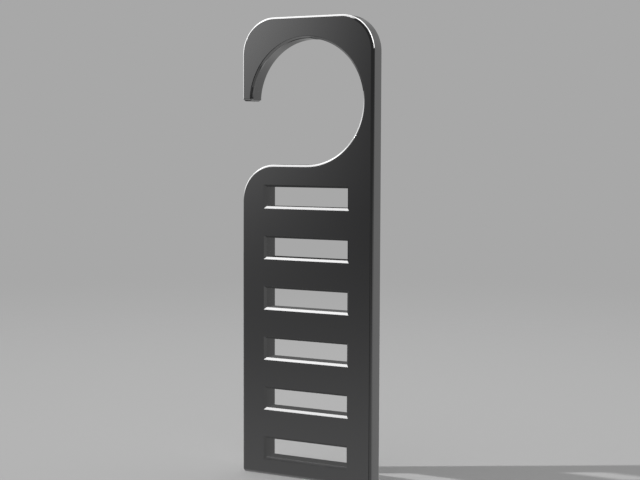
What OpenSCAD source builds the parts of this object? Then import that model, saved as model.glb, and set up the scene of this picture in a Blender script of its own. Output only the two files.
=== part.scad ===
// Belt hanger: a thick flat plate with an open-sided hook at the top and a ladder of belt slots.
// It stands upright on its bottom edge. +X is to the right, +Z is up, and the front face looks along -Y.

/* [Plate] */
// Thickness of the plate, front to back
plate_t = 9.2; // [7:0.1:14]
// Radius of the two top corners
corner_r = 16; // [6:0.5:26]
// Chamfer along every outside edge
edge_c = 1; // [0.3:0.1:2]

/* [Hook] */
// Diameter of the hook's opening, which goes over a closet rail
hook_d = 54.8; // [50:0.2:64]
// Width of the hook's arm, beside the opening
arm_w = 5.1; // [5:0.1:10]
// Height of the plate above the opening
crown_h = 9.8; // [6:0.2:20]
// How far above the opening's centre the hook's tip ends
tip_rise = 0.6; // [0:0.1:6]
// Radius of the shoulder, where the rail slides in under the tip
shoulder_r = 16; // [6:0.2:24]

/* [Belt slots] */
// Number of belt slots
slot_count = 6; // [2:1:10]
// Length of a slot, which takes the width of a belt
slot_l = 40.4; // [30:0.2:46]
// Height of a slot, which takes a folded belt
slot_h = 8.6; // [6:0.2:16]
// Height of the bar between two slots
bar_h = 14; // [6:0.5:24]
// Height of the plate under the lowest slot
foot_h = 7.9; // [6:0.1:20]
// Height of the plate between the highest slot and the hook's opening
lip_h = 9.9; // [7:0.1:20]

/* [Hidden] */
$fn = 180;
// How far a cutter runs past the surface that it cuts
cut_run = 0.5;
quarter_turn = 90;

hook_r = hook_d / 2;
half_t = plate_t / 2;
half_w = hook_r + arm_w;
slot_pitch = slot_h + bar_h;
slots_top = foot_h + slot_count * slot_h + (slot_count - 1) * bar_h;
lip_z = slots_top + lip_h;
hook_z = lip_z + hook_r;
tip_z = hook_z + tip_rise;
plate_h = lip_z + hook_d + crown_h;
// Where the opening's wall meets the tip's lower face
tip_in = sqrt(hook_r * hook_r - tip_rise * tip_rise);

// Stands a solid that was drawn flat on its side: its y goes up and its top face becomes the front.
module upright() {
    rotate([quarter_turn, 0, 0])
        children();
}

// Does the same on the front and on the back.
module both_faces() {
    children();
    mirror([0, 0, 1])
        children();
}

// The square corner that is left outside a quarter circle of radius r, for a corner at the origin
// whose plate lies towards +x and -y.
module outside_corner(r) {
    difference() {
        translate([-cut_run, -r])
            square([r + cut_run, r + cut_run]);
        translate([r, -r])
            circle(r);
    }
}

// The plate's outline from the front, with its edges still sharp and the opening still uncut.
module outline() {
    difference() {
        translate([-half_w, 0])
            square([2 * half_w, plate_h]);
        // The way in for the rail, between the tip and the lip
        translate([-half_w - cut_run, lip_z])
            square([half_w + cut_run, tip_z - lip_z]);
        translate([-half_w, lip_z])
            outside_corner(shoulder_r);
        for (side = [0, 1])
            mirror([side, 0])
                translate([-half_w, plate_h])
                    outside_corner(corner_r);
    }
}

// Section of a chamfer: the material lies below and to the left of the origin, which is the sharp edge.
module chamfer_section() {
    polygon([
        [-edge_c - cut_run, cut_run],
        [cut_run, -edge_c - cut_run],
        [cut_run, cut_run]
    ]);
}

// Takes the front edge off a straight stretch that starts at a point of the outline and runs for a length.
// The stretch runs along x before it is turned, with the material on its -y side.
module straight_chamfer(start, turn, length) {
    translate([start[0], start[1], half_t])
        rotate([0, 0, turn])
            rotate([quarter_turn, 0, quarter_turn])
                linear_extrude(height = length)
                    chamfer_section();
}

// Takes the front edge off a rounded corner, over a quarter turn that begins at the given angle.
module round_chamfer(centre, r, begin) {
    translate([centre[0], centre[1], 0])
        rotate([0, 0, begin])
            rotate_extrude(angle = quarter_turn)
                translate([r, half_t])
                    chamfer_section();
}

// Takes off a sharp corner of the outline, right through the plate. The corner's sides run along -x and +y.
module corner_chamfer(corner, mirrored) {
    translate([corner[0], corner[1], 0])
        mirror([mirrored, 0, 0])
            rotate([0, 0, -quarter_turn])
                linear_extrude(height = plate_t + 2 * cut_run, center = true)
                    chamfer_section();
}

// The front chamfers of the whole outline, from the bottom edge round to the left.
module outline_chamfers() {
    run = 2 * cut_run;
    straight_chamfer([half_w + cut_run, 0], 2 * quarter_turn, 2 * half_w + run);
    straight_chamfer([half_w, plate_h - corner_r], -quarter_turn, plate_h - corner_r + cut_run);
    round_chamfer([half_w - corner_r, plate_h - corner_r], corner_r, 0);
    straight_chamfer([corner_r - half_w, plate_h], 0, 2 * (half_w - corner_r));
    round_chamfer([corner_r - half_w, plate_h - corner_r], corner_r, quarter_turn);
    straight_chamfer([-half_w, tip_z - cut_run], quarter_turn, plate_h - corner_r - tip_z + cut_run);
    straight_chamfer([-tip_in + cut_run, tip_z], 2 * quarter_turn, half_w - tip_in + run);
    straight_chamfer([shoulder_r - half_w, lip_z], 0, half_w - shoulder_r);
    round_chamfer([shoulder_r - half_w, lip_z - shoulder_r], shoulder_r, quarter_turn);
    straight_chamfer([-half_w, -cut_run], quarter_turn, lip_z - shoulder_r + cut_run);
}

// One side of a hole whose two mouths are flared by the chamfer, at a distance from the hole's middle.
function flared_side(half) = [
    [half + edge_c + cut_run, half_t + cut_run],
    [half, half_t - edge_c],
    [half, edge_c - half_t],
    [half + edge_c + cut_run, -half_t - cut_run]
];

// The same points on the other side, in the other order.
function other_side(points) = [for (i = [len(points) - 1 : -1 : 0]) [-points[i][0], points[i][1]]];

// The hook's opening: one side turned about the middle, closed along its axis.
module hook_opening() {
    end_z = half_t + cut_run;
    translate([0, hook_z, 0])
        rotate_extrude()
            polygon(concat([[0, end_z]], flared_side(hook_r), [[0, -end_z]]));
}

// A straight bar with flared sides, centred.
module flared_bar(half, length) {
    side = flared_side(half);
    rotate([quarter_turn, 0, 0])
        linear_extrude(height = length, center = true)
            polygon(concat(side, other_side(side)));
}

// A belt slot: where a bar along one side crosses a bar along the other, the mouths are mitred.
module belt_slot() {
    intersection() {
        flared_bar(slot_l / 2, slot_h + plate_t);
        rotate([0, 0, quarter_turn])
            flared_bar(slot_h / 2, slot_l + plate_t);
    }
}

module hanger_plate() {
    color("#1b1b1d")
        upright()
            difference() {
                linear_extrude(height = plate_t, center = true)
                    outline();
                hook_opening();
                for (i = [0 : slot_count - 1])
                    translate([0, foot_h + slot_h / 2 + i * slot_pitch, 0])
                        belt_slot();
                both_faces()
                    outline_chamfers();
                corner_chamfer([half_w, 0], 0);
                corner_chamfer([-half_w, 0], 1);
                corner_chamfer([-tip_in, tip_z], 0);
                corner_chamfer([-half_w, tip_z], 1);
            }
}

hanger_plate();
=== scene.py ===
# %% [markdown]
# # Belt hanger
# The object is one thick, flat plate of glossy black plastic. A round hook, open at the left, is cut
# into its top, and six long slots for belts make a ladder of the rest. This lesson builds that plate as
# one clean mesh around the CAD part, gives it a polished plastic finish, and lights it like a small
# product studio.

# %% Load the CAD part as the fixed frame
import math

import bmesh
import bpy
from mathutils import Matrix, Vector


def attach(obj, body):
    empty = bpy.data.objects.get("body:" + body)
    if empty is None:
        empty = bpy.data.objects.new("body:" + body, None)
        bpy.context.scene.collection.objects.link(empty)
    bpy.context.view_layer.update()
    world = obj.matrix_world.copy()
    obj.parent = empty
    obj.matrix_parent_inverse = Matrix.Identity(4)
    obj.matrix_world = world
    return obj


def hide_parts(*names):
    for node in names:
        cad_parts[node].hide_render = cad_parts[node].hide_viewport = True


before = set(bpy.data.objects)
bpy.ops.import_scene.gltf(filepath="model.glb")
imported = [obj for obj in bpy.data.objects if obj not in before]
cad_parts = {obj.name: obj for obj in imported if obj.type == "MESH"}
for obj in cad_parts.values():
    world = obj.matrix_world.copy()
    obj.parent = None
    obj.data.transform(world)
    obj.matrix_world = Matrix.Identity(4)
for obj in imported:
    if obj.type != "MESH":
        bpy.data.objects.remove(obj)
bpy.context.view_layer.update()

# %% [markdown]
# ## Sizes
# The CAD part is drawn from a few named sizes in millimetres, and the mesh repeats them, so both have
# the same outline. The origin is the middle of the bottom edge, Z goes up, and the front looks along -Y.

# %% Sizes of the plate, in metres
MM = 0.001
THICK = 9.2 * MM
# The radius of the two top corners, and the flat cut along every edge
CORNER_R = 16 * MM
CHAMFER = 1 * MM
# The hook: the radius of its opening, the arm beside that and the plate above it
HOOK_R = 27.4 * MM
ARM_W = 5.1 * MM
CROWN_H = 9.8 * MM
# How far above the opening's centre the tip ends, and the radius of the shoulder under it
TIP_RISE = 0.6 * MM
SHOULDER_R = 16 * MM
# The slots, then the bar between two of them, and the plate below the lowest and above the highest
SLOTS = 6
SLOT_L = 40.4 * MM
SLOT_H = 8.6 * MM
BAR_H = 14 * MM
FOOT_H = 7.9 * MM
LIP_H = 9.9 * MM

half_w = HOOK_R + ARM_W
slot_pitch = SLOT_H + BAR_H
lip_z = FOOT_H + SLOTS * SLOT_H + (SLOTS - 1) * BAR_H + LIP_H
hook_z = lip_z + HOOK_R
tip_z = hook_z + TIP_RISE
plate_h = hook_z + HOOK_R + CROWN_H
print(f"plate {2 * half_w / MM:.1f} x {THICK / MM:.1f} x {plate_h / MM:.1f} mm")

# %% [markdown]
# ## Camera
# A camera is made first, because everything else is judged through it. It stands to the right of the
# hanger, a little above its middle, and looks slightly down. A long lens keeps the plate's sides nearly
# parallel, as a product photographer would. Its place and lens come from a fit to the plate's edges, so
# they aren't round numbers.

# %% Camera
CAMERA_PLACE = Vector((280.281, -512.731, 148.334)) * MM
CAMERA_TURN, CAMERA_DOWN, CAMERA_ROLL = (math.radians(a) for a in (28.253, 4.111, 0.194))
FOCAL_PX, IMAGE_W, SENSOR_W = 1329.205, 640, 36.0
NEAREST_SEEN = 0.01


def into_scene(name, data):
    """Puts a camera, a lamp or a mesh into the scene, as an object."""
    thing = bpy.data.objects.new(name, data)
    bpy.context.scene.collection.objects.link(thing)
    return thing


camera_data = bpy.data.cameras.new("camera")
camera_data.sensor_fit = "HORIZONTAL"
camera_data.sensor_width = SENSOR_W
camera_data.lens = FOCAL_PX / IMAGE_W * SENSOR_W
camera_data.clip_start = NEAREST_SEEN
camera = into_scene("camera", camera_data)
camera.matrix_world = (
    Matrix.Translation(CAMERA_PLACE)
    @ Matrix.Rotation(CAMERA_TURN, 4, "Z")
    @ Matrix.Rotation(math.pi / 2 - CAMERA_DOWN, 4, "X")
    @ Matrix.Rotation(CAMERA_ROLL, 4, "Z")
)
bpy.context.scene.camera = camera
print(f"lens {camera_data.lens:.2f} mm, {CAMERA_PLACE.length:.3f} m away")

# %% [markdown]
# ## The plate
# The real plate is moulded in one go. In Blender it could be a box with holes cut by booleans, but those
# leave messy faces that spoil a glossy reflection. Here the outline is drawn with a pen instead: straight
# moves extrude a vertex, and curves spin it round a centre. Three flat faces share the work, because a
# face can't have a hole: the right half, the left half below the hook, and the hook's arm. They meet on
# the middle line, so every corner of a slot lies inside one face and its chamfers come out mitred.

# %% A pen that draws with extrude and spin
ARC_STEP = math.radians(1.5)
# Points that are nearer to each other than this are one point
SAME_POINT = 0.001 * MM
front_y = -THICK / 2


def only_verts(parts):
    """Picks the vertices from what an operator returns."""
    return [part for part in parts if isinstance(part, bmesh.types.BMVert)]


def move_to(mesh, vertex, x, z):
    """Draws a straight edge from a vertex to a point of the front face, and returns the new vertex."""
    vertex = bmesh.ops.extrude_vert_indiv(mesh, verts=[vertex])["verts"][0]
    vertex.co = (x, front_y, z)
    return vertex


def turn_round(mesh, vertex, x, z, angle):
    """Sweeps a vertex round a centre, clockwise as seen from the front, and returns where it ends."""
    steps = round(abs(angle) / ARC_STEP)
    swept = bmesh.ops.spin(mesh, geom=[vertex], cent=(x, front_y, z), axis=(0, 1, 0), angle=angle,
                           steps=steps, use_merge=False)
    return only_verts(swept["geom_last"])[0]


def closed_face(mesh, path):
    """Draws the moves of a closed path, which are (x, z) or (centre x, centre z, angle), and fills it."""
    old_verts = set(mesh.verts)
    start_x, start_z = path[0]
    pen = mesh.verts.new((start_x, front_y, start_z))
    for step in path[1:]:
        draw = turn_round if len(step) == 3 else move_to
        pen = draw(mesh, pen, *step)
    new_verts = [v for v in mesh.verts if v not in old_verts]
    bmesh.ops.remove_doubles(mesh, verts=new_verts, dist=SAME_POINT)
    edges = [e for e in mesh.edges if not any(v in old_verts for v in e.verts)]
    return bmesh.ops.edgeloop_fill(mesh, edges=edges)["faces"][0]


print(f"arcs are drawn in steps of {math.degrees(ARC_STEP):.1f} degrees")

# %% The three flat faces of the front
QUARTER = math.pi / 2
corner_x, corner_z = half_w - CORNER_R, plate_h - CORNER_R
shoulder_x, shoulder_z = half_w - SHOULDER_R, lip_z - SHOULDER_R
tip_angle = QUARTER - math.asin(TIP_RISE / HOOK_R)
tip_in = math.sqrt(HOOK_R**2 - TIP_RISE**2)
slot_half = SLOT_L / 2


def ladder(side, upwards):
    """The moves along the middle line that go round one half of each slot."""
    moves = []
    for i in range(SLOTS) if upwards else reversed(range(SLOTS)):
        low = FOOT_H + i * slot_pitch
        first, second = (low, low + SLOT_H) if upwards else (low + SLOT_H, low)
        moves += [(0, first), (side * slot_half, first), (side * slot_half, second), (0, second)]
    return moves


right_half = [
    (0, 0), (half_w, 0), (half_w, corner_z), (corner_x, corner_z, -QUARTER),
    (0, plate_h), (0, hook_z + HOOK_R), (0, hook_z, 2 * QUARTER), *ladder(1, False), (0, 0),
]
left_half = [
    (0, lip_z), (-shoulder_x, lip_z), (-shoulder_x, shoulder_z, -QUARTER),
    (-half_w, 0), (0, 0), *ladder(-1, True), (0, lip_z),
]
hook_arm = [
    (0, plate_h), (-corner_x, plate_h), (-corner_x, corner_z, -QUARTER),
    (-half_w, tip_z), (-tip_in, tip_z), (0, hook_z, tip_angle), (0, plate_h),
]

plate_mesh = bmesh.new()
front_faces = [closed_face(plate_mesh, path) for path in (right_half, left_half, hook_arm)]
bmesh.ops.remove_doubles(plate_mesh, verts=plate_mesh.verts, dist=SAME_POINT)
print("front:", [len(f.verts) for f in front_faces], "vertices in its three faces")

# %% [markdown]
# Extruding the front gives the plate its thickness. Then one bevel cuts the flat 45 degree chamfers. It
# takes every edge that sticks out by more than 45 degrees, which is each rim of the front and the back
# and the four sharp corners of the outline, and leaves the slots' inner corners alone.

# %% Thickness and chamfers
SHARP = math.radians(45)


def cut_edges(mesh, edges, width, segments):
    """Bevels edges by a width: flat with one segment, rounded with more."""
    bmesh.ops.bevel(mesh, geom=edges, offset=width, offset_type="OFFSET", segments=segments, profile=0.5,
                    affect="EDGES", material=-1)


bmesh.ops.recalc_face_normals(plate_mesh, faces=plate_mesh.faces)
back = bmesh.ops.extrude_face_region(plate_mesh, geom=plate_mesh.faces[:])["geom"]
bmesh.ops.translate(plate_mesh, verts=only_verts(back), vec=(0, THICK, 0))
bmesh.ops.recalc_face_normals(plate_mesh, faces=plate_mesh.faces)
rims = [e for e in plate_mesh.edges if e.is_manifold and e.calc_face_angle_signed() > SHARP]
cut_edges(plate_mesh, rims, CHAMFER, 1)
print("edges chamfered:", len(rims), "volume:", round(plate_mesh.calc_volume() / MM**3, 1), "mm3")

# %% [markdown]
# No moulded edge is perfectly sharp. Finer bevels round every crease that is left. Polishing wears the
# outer corner of each chamfer most, where it meets a wall, so that one gets 0.45 mm. The corner beside
# the flat face gets 0.2 mm, and the slots, which no polishing wheel reaches, stay all but sharp. None of
# it can be seen as a shape, but it decides how wide the line of light on an edge is.

# %% Fine rounding of the creases
CREASE = math.radians(20)
WORN, RIM, IN_SLOT = 0.45 * MM, 0.2 * MM, 0.015 * MM
ROUND_STEPS = 4
# A corner that is this near to the front or the back face lies on it
ON_FACE = 0.01 * MM


def in_a_slot(vertex):
    """True for the corners of a belt slot and of its chamfers."""
    x, _, z = vertex.co
    reach = CHAMFER + RIM
    lows = [FOOT_H + i * slot_pitch for i in range(SLOTS)]
    return abs(x) < slot_half + reach and any(low - reach < z < low + SLOT_H + reach for low in lows)


def rounding(edge):
    """How far the crease along an edge is rounded."""
    if all(in_a_slot(v) for v in edge.verts):
        return IN_SLOT
    on_face = any(abs(v.co.y) > THICK / 2 - ON_FACE for v in edge.verts)
    return RIM if on_face else WORN


for size in (WORN, RIM, IN_SLOT):
    creases = [e for e in plate_mesh.edges if e.calc_face_angle() > CREASE and rounding(e) == size]
    cut_edges(plate_mesh, creases, size, ROUND_STEPS)
    print(len(creases), "creases rounded by", size / MM, "mm")
bmesh.ops.recalc_face_normals(plate_mesh, faces=plate_mesh.faces)
open_edges = sum(not e.is_manifold for e in plate_mesh.edges)
print("faces:", len(plate_mesh.faces), "open edges:", open_edges)
print("volume:", round(plate_mesh.calc_volume() / MM**3, 1), "mm3")

# %% [markdown]
# Smooth shading would bend the light over the big flat faces. The Weighted Normal modifier lets the
# largest face at a corner decide, so the flats stay flat and only the thin roundings shade as curves.
# The plate is hidden from mirror rays, so that a slot's walls show the lights and never each other: with
# self-reflection they fill with dark double images, which the matching lights would have to fight.

# %% The finished piece stands for the CAD node
def finished(name, mesh):
    """Turns a bmesh that is done into an object in the scene."""
    data = bpy.data.meshes.new(name)
    mesh.to_mesh(data)
    mesh.free()
    return into_scene(name, data)


for face in plate_mesh.faces:
    face.smooth = True
plate = finished("hanger_plate_skin", plate_mesh)
weighted = plate.modifiers.new("flat faces shade flat", "WEIGHTED_NORMAL")
weighted.mode = "FACE_AREA_WITH_ANGLE"
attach(plate, "root")
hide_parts("hanger_plate")
plate.visible_glossy = False
print("piece:", plate.name, len(plate.data.polygons), "faces")

# %% [markdown]
# ## Helpers for materials
# Colours are chosen as sRGB hex values, the way a paint chart gives them, but Blender's sockets take linear
# light, so one function turns the one into the other. A second one adds a node: its settings, its fixed
# inputs and its links all go in one call, which keeps a node tree as readable as a recipe. A third one
# starts a material with no nodes in it.

# %% Colours and nodes
def linear(hex_colour):
    """Turns an sRGB hex colour into the linear values that Blender's sockets take."""
    values = [int(hex_colour[i : i + 2], 16) / 255 for i in (1, 3, 5)]
    return tuple(v / 12.92 if v <= 0.04045 else ((v + 0.055) / 1.055) ** 2.4 for v in values) + (1.0,)


def add(tree, kind, links=None, settings=None, **inputs):
    """Adds a node. `links` feed its inputs from other nodes' sockets, `settings` are its own switches, and
    each other name is an input that gets a fixed value, with _ for a space.
    """
    node = tree.nodes.new(kind)
    for name, value in (settings or {}).items():
        setattr(node, name, value)
    for name, value in inputs.items():
        node.inputs[name.replace("_", " ")].default_value = value
    for name, socket in (links or {}).items():
        tree.links.new(socket, node.inputs[name])
    return node


def empty_material(name):
    """A new material with no nodes in it, and its node tree."""
    material = bpy.data.materials.new(name)
    material.use_nodes = True
    material.node_tree.nodes.clear()
    return material, material.node_tree


print("#808080 in linear light:", round(linear("#808080")[0], 3))

# %% [markdown]
# ## Polished black ABS
# The plate is ABS, dyed black right through and moulded in a polished tool. That gives the eye two things:
# a body that is almost black, and over it a clear skin that mirrors 4% of what is straight ahead and
# nearly all of what it sees at a glancing angle. So the plate's greys are pictures of the room, and not
# its own colour. A plain dark colour would miss this. The Principled shader has both layers in one node,
# with an IOR of 1.5, a common value for hard plastics (ABS is 1.54).
#
# A moulded skin is never quite flat or evenly clean, and three patterns say so. Shrinkage leaves slow
# waves, called orange peel, that make a straight reflection swim a little. Handling leaves a cloudy haze,
# and wiping leaves fine marks along the plate, which both blur the mirror a little more in places.

# %% Polished black ABS
BLACK_DYE, ABS_IOR = "#131314", 1.5
# The waves of orange peel are millimetres wide and less than a micrometre high, and haze is in soft clouds
PEEL_WIDTH, PEEL_HEIGHT = 4 * MM, 0.0006 * MM
HAZE_WIDTH = 9 * MM
# Real wiping marks are hair-fine, about 0.05 mm. They are drawn 0.6 mm apart, so that they show at all.
MARK_WIDTH, MARK_STRETCH = 0.6 * MM, 0.04
ROUGH_CLEAN, ROUGH_HAZY, ROUGH_MARKS = 0.028, 0.042, 0.006
# A noise texture keeps near 0.5, so these parts of its range give the whole change of roughness
HAZE_FROM, HAZE_TO = 0.35, 0.65
MARKS_FROM, MARKS_TO = 0.55, 0.75

abs_black, tree = empty_material("polished_black_abs")
place = add(tree, "ShaderNodeTexCoord").outputs["Object"]
peel = add(tree, "ShaderNodeTexNoise", {"Vector": place}, Scale=1 / PEEL_WIDTH, Detail=1.0, Roughness=0.4)
bump = add(tree, "ShaderNodeBump", {"Height": peel.outputs["Fac"]}, Strength=1.0, Distance=PEEL_HEIGHT)
haze = add(tree, "ShaderNodeTexNoise", {"Vector": place}, Scale=1 / HAZE_WIDTH, Detail=3.0)
hazy = add(tree, "ShaderNodeMapRange", {"Value": haze.outputs["Fac"]}, From_Min=HAZE_FROM, From_Max=HAZE_TO,
           To_Min=ROUGH_CLEAN, To_Max=ROUGH_HAZY)
along = add(tree, "ShaderNodeMapping", {"Vector": place}, Scale=(1, 1, MARK_STRETCH))
marks = add(tree, "ShaderNodeTexNoise", {"Vector": along.outputs["Vector"]}, Scale=1 / MARK_WIDTH,
            Detail=2.0)
marked = add(tree, "ShaderNodeMapRange", {"Value": marks.outputs["Fac"]}, From_Min=MARKS_FROM,
             From_Max=MARKS_TO, To_Min=0.0, To_Max=ROUGH_MARKS)
rough = add(tree, "ShaderNodeMath", {0: hazy.outputs["Result"], 1: marked.outputs["Result"]},
            {"operation": "ADD"})
skin = add(tree, "ShaderNodeBsdfPrincipled",
           {"Normal": bump.outputs["Normal"], "Roughness": rough.outputs["Value"]},
           Base_Color=linear(BLACK_DYE), IOR=ABS_IOR)
add(tree, "ShaderNodeOutputMaterial", {"Surface": skin.outputs["BSDF"]})
plate.data.materials.append(abs_black)
print("material:", abs_black.name, "roughness", ROUGH_CLEAN, "to", ROUGH_HAZY + ROUGH_MARKS)

# %% [markdown]
# ## Floor and backdrop
# The hanger stands on a seamless grey sweep, the curved paper of a product studio. A curved sheet could be
# modelled, but its bend shows as a band. Here a flat disc of matt paper carries the shadow, and its shader
# fades to transparent away from the plate, so the even grey of the world takes over with no edge.

# %% Paper floor
FLOOR_R, FLOOR_SIDES = 2.0, 96

floor_mesh = bmesh.new()
bmesh.ops.create_circle(floor_mesh, cap_ends=True, radius=FLOOR_R, segments=FLOOR_SIDES)
floor = finished("studio_floor", floor_mesh)
# What the gloss sees of the table is set by the table lights further down, over the world's even grey.
floor.visible_glossy = False
print("floor:", FLOOR_SIDES, "sides,", 2 * FLOOR_R, "m across")

# %% Grey paper: matt fibres that scatter light evenly, so the floor has a soft shadow and no shine
PAPER_GREY, FADE_END = "#b4b4b4", 0.95
SMOOTH = {"interpolation_type": "SMOOTHSTEP"}

paper, tree = empty_material("grey_paper")
place = add(tree, "ShaderNodeTexCoord").outputs["Object"]
far = add(tree, "ShaderNodeVectorMath", {"Vector": place}, {"operation": "LENGTH"})
fade = add(tree, "ShaderNodeMapRange", {"Value": far.outputs["Value"]}, SMOOTH, From_Min=0.0,
           From_Max=FADE_END)
sheet = add(tree, "ShaderNodeBsdfDiffuse", Color=linear(PAPER_GREY))
clear = add(tree, "ShaderNodeBsdfTransparent")
mix = add(tree, "ShaderNodeMixShader",
          {"Fac": fade.outputs["Result"], 1: sheet.outputs["BSDF"], 2: clear.outputs["BSDF"]})
add(tree, "ShaderNodeOutputMaterial", {"Surface": mix.outputs["Shader"]})
floor.data.materials.append(paper)
print("material:", paper.name, "fades out by", FADE_END, "m")

# %% [markdown]
# ## World
# The world does two jobs, which the Light Path node keeps apart. Rays that light a surface find soft white
# fill light. Rays that the camera, a mirror or a glass sends out find the backdrop's grey instead, so the
# plate's gloss shows the same background as the picture does.

# %% World
FILL_LIGHT = 0.6
BACKDROP_GREY = "#a8a8a8"
LARGER = {"operation": "MAXIMUM"}

world = bpy.data.worlds.new("studio")
bpy.context.scene.world = world
world.use_nodes = True
tree = world.node_tree
tree.nodes.clear()
ray = add(tree, "ShaderNodeLightPath")
seen = add(tree, "ShaderNodeMath", {0: ray.outputs["Is Camera Ray"], 1: ray.outputs["Is Glossy Ray"]},
           LARGER)
seen = add(tree, "ShaderNodeMath", {0: seen.outputs["Value"], 1: ray.outputs["Is Transmission Ray"]},
           LARGER)
fill = add(tree, "ShaderNodeBackground", Color=linear("#ffffff"), Strength=FILL_LIGHT)
backdrop = add(tree, "ShaderNodeBackground", Color=linear(BACKDROP_GREY), Strength=1.0)
mix = add(tree, "ShaderNodeMixShader",
          {"Fac": seen.outputs["Value"], 1: fill.outputs["Background"], 2: backdrop.outputs["Background"]})
add(tree, "ShaderNodeOutputWorld", {"Surface": mix.outputs["Shader"]})
print("fill light:", FILL_LIGHT, "backdrop:", BACKDROP_GREY)

# %% [markdown]
# ## Key lamp
# One lamp throws the long, clear shadow towards the right. It stands low at the left, a little in front of
# the plate. A sun lamp does this best, because its rays are parallel and the shadow keeps its width. An
# angle of 1 degree softens the shadow's edge only slightly, as a lamp some metres away does.

# %% Key lamp
KEY_FROM = Vector((-0.8375, -0.4875, 0.247))
KEY_LEVEL, KEY_ANGLE = 5.3, math.radians(1)

sun_data = bpy.data.lights.new("key_lamp", "SUN")
sun_data.energy = KEY_LEVEL
sun_data.angle = KEY_ANGLE
sun = into_scene("key_lamp", sun_data)
sun.matrix_world = KEY_FROM.to_track_quat("Z", "Y").to_matrix().to_4x4()
print(f"key lamp {math.degrees(math.asin(KEY_FROM.normalized().z)):.0f} degrees above the floor")

# %% [markdown]
# ## Softboxes
# A glossy black thing is lit by what it mirrors, so the rest of the studio is a set of softboxes: flat
# lamps with faded edges. Each face, chamfer and rounding of the plate looks in its own direction, and the
# softbox that hangs there decides whether that edge is a white line or a dark one.
#
# They are made this way for three reasons. The lamps skip diffuse rays, so they draw reflections and add
# no light to the floor or the plate's own colour. Their ends fade through the Parametric output of the
# Geometry node, which runs from 0 to 1 across a lamp, so a reflection can end softly. And each one hangs
# a little further out than the last, because a mirror ray that meets two lamps in one plane counts only
# one of them.

# %% Soft ends
def soft_ends(tree, width, height, soft):
    """Fades a lamp's four ends. `soft` says how wide each fade is, in the unit of width and height."""
    left, right, bottom, top = soft
    # The lamp's axis, which of its ends it is, and where the fade reaches full light, both from 0 to 1
    ends = [("X", 0, left / width), ("X", 1, 1 - right / width),
            ("Y", 0, bottom / height), ("Y", 1, 1 - top / height)]
    spot = add(tree, "ShaderNodeNewGeometry").outputs["Parametric"]
    split = add(tree, "ShaderNodeSeparateXYZ", {"Vector": spot})
    mask = None
    for axis, end, inner in ends:
        fall = add(tree, "ShaderNodeMapRange", {"Value": split.outputs[axis]}, SMOOTH, From_Min=end,
                   From_Max=inner).outputs["Result"]
        if mask is None:
            mask = fall
        else:
            mask = add(tree, "ShaderNodeMath", {0: mask, 1: fall},
                       {"operation": "MULTIPLY"}).outputs["Value"]
    return mask


# %% One softbox
ROOM, STEP_OUT = 6.0, 0.02
# The middle of the plate, which the softboxes and the flags hang round
MIDDLE = Vector((0, 0, 0.1))


def softbox(name, facing, side, across, along, level, soft):
    """A flat lamp that only the gloss sees, square to `facing`. Sizes are slopes, seen from the plate."""
    up = facing.cross(side)
    width, height = across[1] - across[0], along[1] - along[0]
    data = bpy.data.lights.new(name, "AREA")
    data.shape = "RECTANGLE"
    data.size, data.size_y = ROOM * width, ROOM * height
    # Watts that give the lamp's face the wanted radiance, whatever its size
    data.energy = level * math.pi * data.size * data.size_y
    data.use_nodes = True
    tree = data.node_tree
    tree.nodes.clear()
    glow = add(tree, "ShaderNodeEmission", {"Strength": soft_ends(tree, width, height, soft)})
    add(tree, "ShaderNodeOutputLight", {"Surface": glow.outputs["Emission"]})
    lamp = into_scene(name, data)
    room = ROOM + STEP_OUT * len(bpy.data.lights)
    centre = MIDDLE + room * (facing + side * sum(across) / 2 + up * sum(along) / 2)
    lamp.matrix_world = Matrix.Translation(centre) @ Matrix((side, up, facing)).transposed().to_4x4()
    lamp.visible_diffuse = False
    print(f"{name}: {data.size:.1f} x {data.size_y:.1f} m, level {level}")


# %% Three ways to hang one
UP, DOWN, RIGHT = Vector((0, 0, 1)), Vector((0, 0, -1)), Vector((1, 0, 0))


def wall_light(name, compass, rise, level, soft):
    """A softbox that stands upright. All its angles are in degrees.

    `compass` is the turn from the front towards the left, and `rise` is the height, each from and to.
    `soft` says how wide the fade is at the compass's two ends, at the bottom and at the top.
    """
    middle = math.radians(sum(compass) / 2)
    half = math.tan(math.radians(abs(compass[1] - compass[0]) / 2))
    facing = Vector((-math.sin(middle), -math.cos(middle), 0))
    side = UP.cross(facing)
    low, high = (math.tan(math.radians(a)) for a in rise)
    first, last, bottom, top = (math.tan(math.radians(a)) for a in soft)
    # The lamp's own X runs towards the smaller compass angle, so the two side fades change places
    softbox(name, facing, side, (-half, half), (low, high), level, (last, first, bottom, top))


def roof_light(name, x, y, level, soft):
    """A softbox that hangs level. x and y are slopes from straight up, towards the right and the back.

    `soft` says how wide the fade is at the left, the right, the front and the back.
    """
    softbox(name, UP, RIGHT, x, y, level, soft)


def table_light(name, x, y, level, soft):
    """The same from below, as a table top throws light back up. x and y are slopes from straight down."""
    left, right, front, back = soft
    # The lamp's own Y runs towards the front, so the slopes along it and their fades change places
    softbox(name, DOWN, RIGHT, x, (-y[1], -y[0]), level, (left, right, back, front))


print("softboxes hang", ROOM, "m away")

# %% [markdown]
# ### The roof
# Every chamfer that faces up looks at the roof: the top edge, the two rounded corners, the shoulder, the
# hook's lower arc and the low edge of each slot. A strong roof light, which is the first two lamps, makes
# them the white lines that draw the shape. Its front end is almost sharp, so the lowest slot's edge just
# misses it and stays grey, and its right end stops where the right corner turns dark. The next two lamps
# draw the thin line that goes on round that corner, on the worn rounding beside the wall, and the last one
# lifts the lowest slot's edge.

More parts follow.
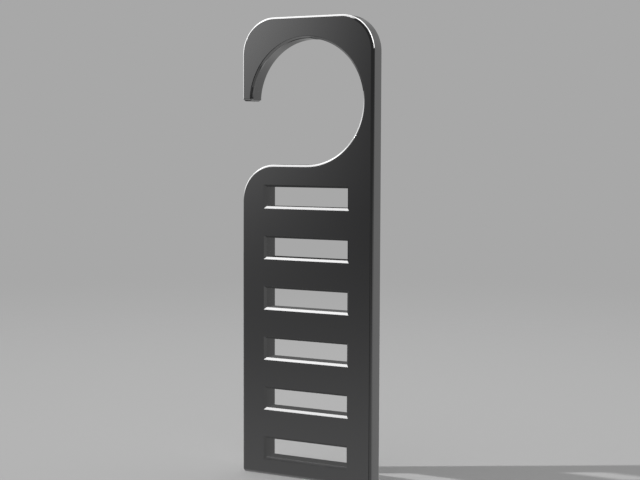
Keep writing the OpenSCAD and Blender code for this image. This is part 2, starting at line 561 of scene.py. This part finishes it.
# %% Roof lights
roof_light("roof_front", x=(-3.0, 0.05), y=(-0.294, 0.05), level=6, soft=(2.4, 0.17, 0.06, 0.22))
roof_light("roof_main", x=(-3.0, 0.05), y=(-0.294, 1.4), level=12, soft=(2.4, 0.17, 0.06, 1.1))
roof_light("roof_right", x=(-0.1, 3.0), y=(-0.12, 1.2), level=22, soft=(0.1, 1.0, 0.06, 0.6))
wall_light("right_back", compass=(-135, -92), rise=(9, 50), level=22, soft=(3, 3, 2, 10))
roof_light("roof_edge", x=(-1.0, 0.3), y=(-0.42, -0.24), level=0.22, soft=(0.3, 0.1, 0.04, 0.02))

# %% [markdown]
# ### The walls
# The flat face looks at the front left of the room. A bright softbox stands there, and its soft lower end
# makes the face fade from light at the hook's tip to nearly black beside the lowest bars. The left wall
# gives the plate's left edge its line, and the back right one lights the walls that face right: the side
# of the plate and the inside of the hook.

# %% Wall lights
wall_light("front_left", compass=(23.1, 52), rise=(-10.7, 22), level=20.8, soft=(13.3, 16, 45, 14))
wall_light("left_wall", compass=(100, 140), rise=(-6, 50), level=4.4, soft=(5, 5, 16, 20))
wall_light("back_right", compass=(-206, -147), rise=(-40, 36), level=0.65, soft=(30, 6, 10, 22))

# %% [markdown]
# ### The table
# A plate that stands on a table mirrors the lit table top in every part that looks down. The table lights
# are that glow: the wide front one lifts the lower half of the face, the small ones lift the slots' left
# edges and the foot of the right edge, and the rest reach the undersides of the hook, tip and bottom.

# %% Table lights
wall_light("table_front", compass=(-67.5, 70), rise=(-59, -0.8), level=1.1, soft=(45, 20, 12, 18))
wall_light("table_right", compass=(-147, -65), rise=(-60, 6), level=1.6, soft=(6, 8, 15, 16))
wall_light("table_left", compass=(82, 113), rise=(-57, -8), level=0.95, soft=(4, 2, 8, 3))
wall_light("table_card", compass=(-61.5, -52), rise=(-12, 3), level=0.9, soft=(2, 2, 8, 3))
wall_light("table_edge", compass=(-69, -61), rise=(-30, -5.5), level=0.7, soft=(1, 1, 5, 8))
table_light("table_under", x=(-0.85, 1.0), y=(-1.2, 0.03), level=2.0, soft=(0.2, 0.35, 0.6, 0.05))
table_light("table_back", x=(-0.3, 1.2), y=(0.0, 1.6), level=1.6, soft=(0.2, 0.4, 0.05, 0.4))
table_light("table_behind", x=(-0.8, -0.4), y=(0.25, 0.6), level=0.8, soft=(0.05, 0.05, 0.06, 0.2))

# %% [markdown]
# ## Flags and a card, which paint shade and light
# A photographer also takes light away, with flags of dark cloth. Here each flag is an even glow, dimmer
# than what it covers, that paints shade into the gloss. They stand nearer than the softboxes, and so cover
# them and the backdrop. Two paint shade on the slots' floors, one on the right ends of the highest slots
# and one on the lower half of the left edge, and one draws the fine dark line inside the hook's rim. The
# last two panels hang a hand's width from the hook: a grey flag paints shade on the chamfer at its tip, and
# a white card, which glows, paints light on the wall beside that. Further away they would change the slots
# too, which look the same way from lower down. Cloth could be lit, but a flag is only ever mirrored here,
# so a plain even glow gives it the tone that it needs. Camera, diffuse and shadow rays pass it by.

# %% Glowing panels that paint shade and light
# The card's painted light is as bright as the backdrop and the full back right lamp together, so it shows
# only where that fades
PAINTED_LIGHT_LEVEL = 1.04


def cloth(name, colour, strength=1.0):
    """A panel's even glow, which paints shade or light into what the plate mirrors."""
    material, tree = empty_material(name)
    glow = add(tree, "ShaderNodeEmission", Color=linear(colour), Strength=strength)
    add(tree, "ShaderNodeOutputMaterial", {"Surface": glow.outputs["Emission"]})
    return material


painted_shade_grey = cloth("painted_shade_grey", "#868686")
painted_shade_black = cloth("painted_shade_black", "#404040")
# The backdrop's own tone, so that this flag paints shade over the lamps behind it and nothing else
painted_shade_backdrop_grey = cloth("painted_shade_backdrop_grey", BACKDROP_GREY)
painted_light_white = cloth("painted_light_white", "#ffffff", PAINTED_LIGHT_LEVEL)
print("cloths:", [material.name for material in (painted_shade_grey, painted_shade_black, painted_shade_backdrop_grey, painted_light_white)])

# %% Flags
# A wide flag is flat, so its middle is nearer than its ends, and what hangs before it is further in
FLAG_ROOM, INNER_ROOM, NEAR_ROOM = 3.0, 2.8, 0.13


def flag(name, compass, rise, material=painted_shade_grey, room=FLAG_ROOM):
    """A glowing panel that only the gloss sees, which paints shade or light into it. `compass` and `rise`
    are as for a wall light.
    """
    mesh = bmesh.new()
    bmesh.ops.create_grid(mesh, x_segments=1, y_segments=1, size=1.0)
    for vertex in mesh.verts:
        # A corner's sign says whether it takes the first or the second of each two angles
        way = math.radians(compass[vertex.co.x > 0])
        height = math.tan(math.radians(rise[vertex.co.y > 0]))
        vertex.co = MIDDLE + room * Vector((-math.sin(way), -math.cos(way), height))
    panel = finished(name, mesh)
    panel.data.materials.append(material)
    panel.visible_camera = panel.visible_diffuse = panel.visible_shadow = False
    print(f"{name}: {compass[0]} to {compass[1]} degrees round, {rise[0]} to {rise[1]} up")


# The flags paint shade, and the card paints light, into what the plate mirrors
flag("flag_slots", compass=(137, 165), rise=(0.5, 20))
flag("flag_high_slots", compass=(146.5, 158), rise=(0, 5.9), material=painted_shade_black, room=INNER_ROOM)
flag("flag_low_left", compass=(115.8, 150), rise=(-24, -4.5))
flag("flag_slot_ends", compass=(113.5, 118.6), rise=(-5.5, -0.3), material=painted_shade_black, room=INNER_ROOM)
flag("flag_front", compass=(-47, 12), rise=(-42, -3))
flag("flag_tip", compass=(-53.5, -49), rise=(12, 29), material=painted_shade_backdrop_grey, room=NEAR_ROOM)
flag("painted_light_card_tip", compass=(-170, -155), rise=(13, 31), material=painted_light_white, room=NEAR_ROOM)

# %% [markdown]
# ## The end
# Standard view transform shows each colour as it is written.

# %% View and finish
bpy.context.scene.view_settings.view_transform = "Standard"
